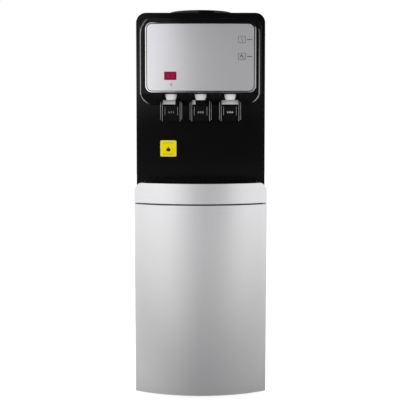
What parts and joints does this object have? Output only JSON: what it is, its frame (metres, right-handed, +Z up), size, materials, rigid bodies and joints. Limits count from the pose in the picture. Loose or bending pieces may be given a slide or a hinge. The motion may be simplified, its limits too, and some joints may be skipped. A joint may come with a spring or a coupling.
{
  "type": "freestanding water dispenser",
  "caption": "Freestanding bottled-water dispenser: bow-front storage cabinet, cup recess with drip tray, push-paddle taps under a silver control panel, bottle seat on top.",
  "frame": {"origin": "on the floor, under the middle of the object's box", "axes": "+Z up, the taps and the door face -Y, +X to the right as seen from the front"},
  "size_m": [0.31, 0.37, 0.9175],
  "materials": {
    "black_shell": "glossy black moulded shell",
    "black_lever": "glossy black push paddle",
    "black_sheet": "satin black sheet",
    "silver_paint": "silver paint with a soft sheen",
    "bright_trim": "bright plated",
    "red_window": "dark red see-through display filter",
    "yellow_label": "printed film",
    "zinc_sheet": "zinc coated sheet",
    "black_rubber": "matt rubber",
    "grey_gasket": "soft magnetic gasket",
    "white_plastic": "white moulding",
    "stainless": "drawn stainless steel",
    "foam": "insulating foam",
    "copper": "bare copper tube",
    "black_enamel": "black enamel",
    "hose": "clear-white silicone hose",
    "circuit_board": "green board",
    "plated_steel": "zinc plated steel",
    "red_switch": "red rocker",
    "green_switch": "green rocker"
  },
  "bodies": {
    "cabinet": {"base_pan": "zinc_sheet", "rubber_feet": "black_rubber", "left_side_panel": "black_sheet", "right_side_panel": "black_sheet", "rear_panel": "zinc_sheet", "top_cover": "black_shell", "front_fascia": "black_shell", "hood_shell": "black_shell", "control_panel": "silver_paint", "panel_trim": "bright_trim", "display_window": "red_window", "display_board": "circuit_board", "plain_label": "yellow_label", "waist_band": "silver_paint", "cabinet_liner": "white_plastic", "door_hinges": "plated_steel", "tank_frame": "zinc_sheet", "cold_tank": "stainless", "tank_foam": "foam", "evaporator_coil": "copper", "hot_tank": "stainless", "hot_jacket": "foam", "compressor": "black_enamel", "compressor_mounts": "black_rubber", "condenser": "black_enamel", "refrigerant_line": "copper", "hot_tubes": "hose", "cold_tube": "hose", "ambient_tube": "hose", "drain_pipe": "white_plastic", "service_plate": "black_shell", "control_board": "circuit_board", "rear_screws": "plated_steel", "hot_tap_body": "black_shell", "ambient_tap_body": "black_shell", "cold_tap_body": "black_shell", "hot_nozzle": "bright_trim", "ambient_nozzle": "bright_trim", "cold_nozzle": "bright_trim", "pivot_pins": "plated_steel"},
    "door": {"door_skin": "silver_paint", "door_liner": "white_plastic", "door_gasket": "grey_gasket"},
    "tray": {"drip_tray": "black_shell"},
    "grille": {"drip_grille": "black_shell"},
    "bottle_seat": {"bottle_collar": "black_shell", "neck_guard": "black_shell", "feed_probe": "white_plastic"},
    "hot_rocker": {"hot_switch": "red_switch"},
    "cold_rocker": {"cold_switch": "green_switch"},
    "drain_plug": {"drain_cap": "white_plastic"},
    "hot_lever": {"hot_paddle": "black_lever"},
    "hot_valve": {"hot_stem": "white_plastic", "hot_spring": "plated_steel"},
    "ambient_lever": {"ambient_paddle": "black_lever"},
    "ambient_valve": {"ambient_stem": "white_plastic", "ambient_spring": "plated_steel"},
    "cold_lever": {"cold_paddle": "black_lever"},
    "cold_valve": {"cold_stem": "white_plastic", "cold_spring": "plated_steel"}
  },
  "joints": [
    {"name": "door_hinge", "type": "hinge", "parent": "cabinet", "child": "door", "pos_m": [0.147, -0.113, 0.2345], "axis": [0, 0, 1], "range_deg": [0, 110]},
    {"name": "hot_push", "type": "hinge", "parent": "cabinet", "child": "hot_lever", "pos_m": [-0.07, -0.068, 0.706], "axis": [1, 0, 0], "range_deg": [0, 12], "stiffness_Nm_per_rad": 1},
    {"name": "hot_valve_lift", "type": "slide", "parent": "cabinet", "child": "hot_valve", "axis": [0, 0, 1], "range_m": [0, 0.0028], "deforming": ["hot_spring"]},
    {"name": "ambient_push", "type": "hinge", "parent": "cabinet", "child": "ambient_lever", "pos_m": [0, -0.068, 0.706], "axis": [1, 0, 0], "range_deg": [0, 12], "stiffness_Nm_per_rad": 1},
    {"name": "ambient_valve_lift", "type": "slide", "parent": "cabinet", "child": "ambient_valve", "axis": [0, 0, 1], "range_m": [0, 0.0028], "deforming": ["ambient_spring"]},
    {"name": "cold_push", "type": "hinge", "parent": "cabinet", "child": "cold_lever", "pos_m": [0.07, -0.068, 0.706], "axis": [1, 0, 0], "range_deg": [0, 12], "stiffness_Nm_per_rad": 1},
    {"name": "cold_valve_lift", "type": "slide", "parent": "cabinet", "child": "cold_valve", "axis": [0, 0, 1], "range_m": [0, 0.0028], "deforming": ["cold_spring"]},
    {"name": "tray_lift", "type": "slide", "parent": "cabinet", "child": "tray", "axis": [0, 0, 1], "range_m": [0, 0.06]},
    {"name": "grille_lift", "type": "slide", "parent": "tray", "child": "grille", "axis": [0, 0, 1], "range_m": [0, 0.03]},
    {"name": "collar_lift", "type": "slide", "parent": "cabinet", "child": "bottle_seat", "axis": [0, 0, 1], "range_m": [0, 0.055]},
    {"name": "hot_switch_rock", "type": "hinge", "parent": "cabinet", "child": "hot_rocker", "pos_m": [0.099, 0.155, 0.7665], "axis": [1, 0, 0], "range_deg": [-8, 8]},
    {"name": "cold_switch_rock", "type": "hinge", "parent": "cabinet", "child": "cold_rocker", "pos_m": [0.121, 0.155, 0.7665], "axis": [1, 0, 0], "range_deg": [-8, 8]},
    {"name": "drain_cap_pull", "type": "slide", "parent": "cabinet", "child": "drain_plug", "axis": [0, 1, 0], "range_m": [0, 0.025]}
  ],
  "couplings": [
    {"joint": "hot_valve_lift", "follows": "hot_push", "m_per_rad": 0.013},
    {"joint": "ambient_valve_lift", "follows": "ambient_push", "m_per_rad": 0.013},
    {"joint": "cold_valve_lift", "follows": "cold_push", "m_per_rad": 0.013}
  ]
}
